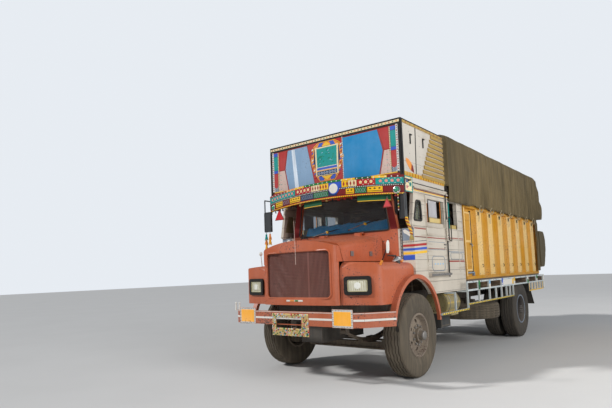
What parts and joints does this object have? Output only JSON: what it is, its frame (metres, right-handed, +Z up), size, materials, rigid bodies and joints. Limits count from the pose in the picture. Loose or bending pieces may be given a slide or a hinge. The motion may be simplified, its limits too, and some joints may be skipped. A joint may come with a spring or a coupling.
{
  "type": "decorated goods truck",
  "caption": "Semi-bonneted two-axle goods truck with wooden cab, painted over-cab crown, ribbed load body under a tarpaulin, steering, doors, bonnet and tailboard",
  "frame": {"origin": "middle of the truck's footprint on the ground", "axes": "+Z up, the truck faces -Y, +X is the truck's left"},
  "size_m": [2.44, 7.72, 3.31],
  "materials": {
    "frame_paint": "satin",
    "spring_steel": "matte",
    "cast_axle": "matte",
    "wheel_paint": "matte",
    "tyre": "matte",
    "engine_metal": "matte",
    "orange_paint": "satin",
    "mesh_paint": "matte",
    "lamp": "polished",
    "glass": "gloss",
    "cream_wood": "satin",
    "floor_wood": "matte",
    "seat_cloth": "matte",
    "dash_plastic": "matte",
    "rim_plastic": "satin",
    "crown_paint": "gloss",
    "visor_paint": "gloss",
    "ochre_paint": "satin",
    "canvas": "matte",
    "rail_paint": "satin",
    "flap_rubber": "matte",
    "tank_paint": "satin",
    "mirror_black": "satin"
  },
  "bodies": {
    "truck": {"chassis_frame": "frame_paint", "leaf_springs": "spring_steel", "front_axle_beam": "cast_axle", "rear_axle": "cast_axle", "spare_wheel": "tyre", "engine_block": "engine_metal", "front_bumper": "orange_paint", "nose_panel": "orange_paint", "grille": "mesh_paint", "fender_left": "orange_paint", "fender_right": "orange_paint", "headlamps": "lamp", "cab_front": "orange_paint", "window_glass": "glass", "cab_side_left": "cream_wood", "cab_side_right": "cream_wood", "cab_floor": "floor_wood", "cab_back": "cream_wood", "cab_roof": "cream_wood", "seats": "seat_cloth", "dashboard": "dash_plastic", "crown_board": "crown_paint", "crown_box": "cream_wood", "visor_band": "visor_paint", "load_floor": "floor_wood", "load_side_left": "ochre_paint", "load_side_right": "ochre_paint", "headboard": "floor_wood", "hoop_frame": "spring_steel", "tarpaulin": "canvas", "side_rails": "rail_paint", "mudflaps": "flap_rubber", "tanks": "tank_paint", "mirrors": "mirror_black"},
    "knuckle_left": {"knuckle_left": "cast_axle"},
    "knuckle_right": {"knuckle_right": "cast_axle"},
    "tie_rod": {"tie_rod": "spring_steel"},
    "front_wheel_left": {"wheel_front_left": "wheel_paint", "tyre_front_left": "tyre"},
    "front_wheel_right": {"wheel_front_right": "wheel_paint", "tyre_front_right": "tyre"},
    "rear_wheels_left": {"wheel_rear_left": "wheel_paint", "tyres_rear_left": "tyre"},
    "rear_wheels_right": {"wheel_rear_right": "wheel_paint", "tyres_rear_right": "tyre"},
    "bonnet": {"bonnet": "orange_paint"},
    "cab_door_left": {"door_left": "cream_wood"},
    "cab_door_right": {"door_right": "cream_wood"},
    "side_door": {"side_door": "ochre_paint"},
    "tailboard": {"tailboard": "ochre_paint", "tarp_roll": "canvas"},
    "steering_wheel": {"steering_wheel": "rim_plastic"}
  },
  "joints": [
    {"name": "steer_left", "type": "hinge", "parent": "truck", "child": "knuckle_left", "pos_m": [0.8, -2.7, 0.5175], "axis": [0, 0, 1], "range_deg": [-32, 32]},
    {"name": "steer_right", "type": "hinge", "parent": "truck", "child": "knuckle_right", "pos_m": [-0.8, -2.7, 0.5175], "axis": [0, 0, 1], "range_deg": [-32, 32]},
    {"name": "tie_rod_left_end", "type": "hinge", "parent": "knuckle_left", "child": "tie_rod", "pos_m": [0.8, -2.48, 0.395], "axis": [0, 0, 1], "range_deg": [-32, 32]},
    {"name": "front_wheel_left_spin", "type": "hinge", "parent": "knuckle_left", "child": "front_wheel_left", "pos_m": [0.977, -2.7, 0.5175], "axis": [1, 0, 0], "continuous": true},
    {"name": "front_wheel_right_spin", "type": "hinge", "parent": "knuckle_right", "child": "front_wheel_right", "pos_m": [-0.977, -2.7, 0.5175], "axis": [1, 0, 0], "continuous": true},
    {"name": "rear_wheels_left_spin", "type": "hinge", "parent": "truck", "child": "rear_wheels_left", "pos_m": [0.89, 1.525, 0.5175], "axis": [1, 0, 0], "continuous": true},
    {"name": "rear_wheels_right_spin", "type": "hinge", "parent": "truck", "child": "rear_wheels_right", "pos_m": [-0.89, 1.525, 0.5175], "axis": [1, 0, 0], "continuous": true},
    {"name": "bonnet_hinge", "type": "hinge", "parent": "truck", "child": "bonnet", "pos_m": [0, -2.732, 1.846], "axis": [-1, 0, 0], "range_deg": [0, 42]},
    {"name": "cab_door_left_hinge", "type": "hinge", "parent": "truck", "child": "cab_door_left", "pos_m": [1.109, -2.346, 1.8], "axis": [0, 0, -1], "range_deg": [0, 70]},
    {"name": "cab_door_right_hinge", "type": "hinge", "parent": "truck", "child": "cab_door_right", "pos_m": [-1.109, -2.346, 1.8], "axis": [0, 0, 1], "range_deg": [0, 70]},
    {"name": "side_door_hinge", "type": "hinge", "parent": "truck", "child": "side_door", "pos_m": [1.08, -0.938, 1.74], "axis": [0, 0, -1], "range_deg": [0, 95]},
    {"name": "tailboard_hinge", "type": "hinge", "parent": "truck", "child": "tailboard", "pos_m": [0, 3.364, 1.138], "axis": [-1, 0, 0], "range_deg": [0, 90]},
    {"name": "steering_wheel_turn", "type": "hinge", "parent": "truck", "child": "steering_wheel", "pos_m": [-0.56, -2.18, 1.79], "axis": [0, 0.5, 0.866], "range_deg": [-580, 580]}
  ],
  "couplings": [
    {"joint": "steer_right", "follows": "steer_left", "ratio": 1},
    {"joint": "tie_rod_left_end", "follows": "steer_left", "ratio": -1},
    {"joint": "steering_wheel_turn", "follows": "steer_left", "ratio": 18}
  ]
}
